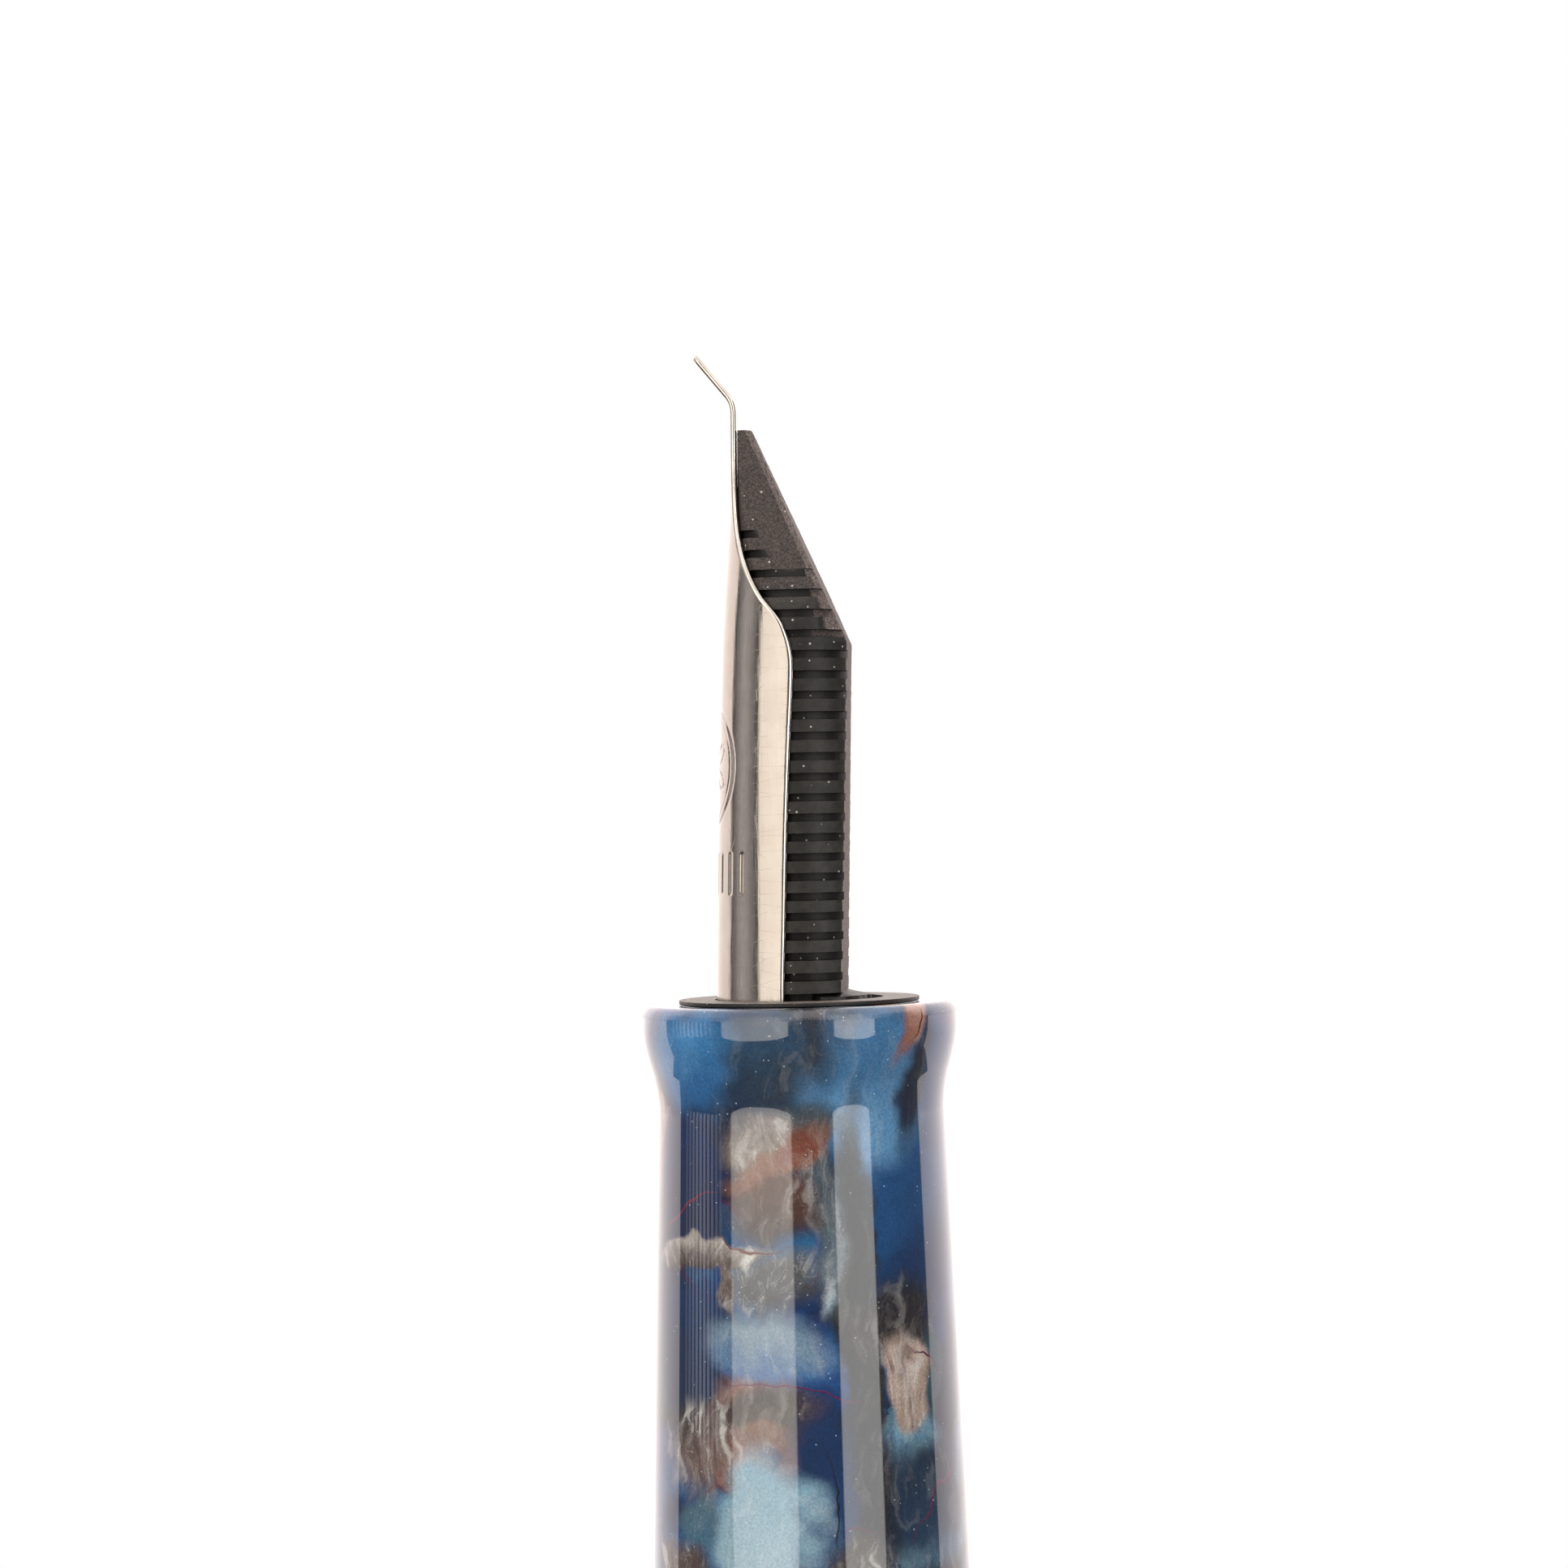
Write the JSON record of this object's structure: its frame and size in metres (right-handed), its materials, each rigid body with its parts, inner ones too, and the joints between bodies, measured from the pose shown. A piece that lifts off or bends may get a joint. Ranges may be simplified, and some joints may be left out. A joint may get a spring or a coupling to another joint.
{
  "type": "fountain pen",
  "caption": "Fountain pen standing nib up on its posted cap: bent-tip steel nib, finned feed, flared resin grip, twist converter inside, cap with clip.",
  "frame": {"origin": "centre of the cap's flat end, on which the pen stands", "axes": "+Z along the pen towards the nib, -X the side that the nib's upper face and the clip look to, +X the feed's underside"},
  "size_m": [0.0181, 0.0152, 0.1667],
  "materials": {
    "resin": "polished resin with pearl chips",
    "ebonite": "sawn and ground hard rubber",
    "nib_steel": "polished stainless steel",
    "tip_alloy": "ground hard alloy",
    "polished_steel": "mirror polished",
    "plated_steel": "bright turned",
    "brass": "turned",
    "black_plastic": "moulded, satin",
    "clear_plastic": "clear",
    "rubber": "moulded"
  },
  "bodies": {
    "cap": {"cap_shell": "resin", "cap_band": "polished_steel", "cap_liner": "black_plastic", "cap_finial": "resin", "finial_screw": "brass", "clip_ring": "polished_steel"},
    "clip": {"clip": "polished_steel"},
    "barrel": {"barrel": "resin", "barrel_thread_bush": "brass", "tail_ring": "polished_steel", "tail_finial": "resin"},
    "section_ring": {"section_ring": "polished_steel"},
    "section": {"section": "resin", "section_tenon": "plated_steel"},
    "nib_gasket": {"nib_gasket": "rubber"},
    "nib_unit": {"nib_housing": "black_plastic"},
    "nib_and_feed": {"feed": "ebonite", "nib": "nib_steel", "nib_tipping": "tip_alloy"},
    "converter": {"converter_tube": "clear_plastic", "converter_collar": "polished_steel"},
    "converter_knob": {"converter_knob": "black_plastic"},
    "converter_piston": {"converter_rod": "plated_steel", "converter_seal": "rubber"},
    "agitator_ball": {"agitator_ball": "plated_steel"}
  },
  "joints": [
    {"name": "clip_flex", "type": "hinge", "parent": "cap", "child": "clip", "pos_m": [-0.0076, 0, 0.0055], "axis": [0, -1, 0], "range_deg": [0, 4], "stiffness_Nm_per_rad": 0.12},
    {"name": "cap_pull", "type": "slide", "parent": "cap", "child": "barrel", "axis": [0, 0, 1], "range_m": [0, 0.03]},
    {"name": "section_advance", "type": "slide", "parent": "barrel", "child": "section_ring", "axis": [0, 0, 1], "range_m": [0, 0.008]},
    {"name": "section_turn", "type": "hinge", "parent": "section_ring", "child": "section", "pos_m": [0, 0, 0.13], "axis": [0, 0, 1], "range_deg": [0, 2880.01]},
    {"name": "nib_unit_advance", "type": "slide", "parent": "section", "child": "nib_gasket", "axis": [0, 0, 1], "range_m": [0, 0.005]},
    {"name": "nib_unit_turn", "type": "hinge", "parent": "nib_gasket", "child": "nib_unit", "pos_m": [0, 0, 0.14], "axis": [0, 0, 1], "range_deg": [0, 3600.01]},
    {"name": "nib_pull", "type": "slide", "parent": "nib_unit", "child": "nib_and_feed", "axis": [0, 0, 1], "range_m": [0, 0.018]},
    {"name": "converter_pull", "type": "slide", "parent": "nib_unit", "child": "converter", "axis": [0, 0, -1], "range_m": [0, 0.007]},
    {"name": "knob_turn", "type": "hinge", "parent": "converter", "child": "converter_knob", "pos_m": [0, 0, 0.07], "axis": [0, 0, -1], "range_deg": [0, 2160.01]},
    {"name": "piston_travel", "type": "slide", "parent": "converter", "child": "converter_piston", "axis": [0, 0, 1], "range_m": [0, 0.018]},
    {"name": "ball_drop", "type": "slide", "parent": "converter_piston", "child": "agitator_ball", "axis": [0, 0, 1], "range_m": [0, 0.004]}
  ],
  "couplings": [
    {"joint": "section_turn", "follows": "section_advance", "rad_per_m": 6283.2},
    {"joint": "nib_unit_turn", "follows": "nib_unit_advance", "rad_per_m": 12566},
    {"joint": "knob_turn", "follows": "piston_travel", "rad_per_m": 2094.4}
  ]
}
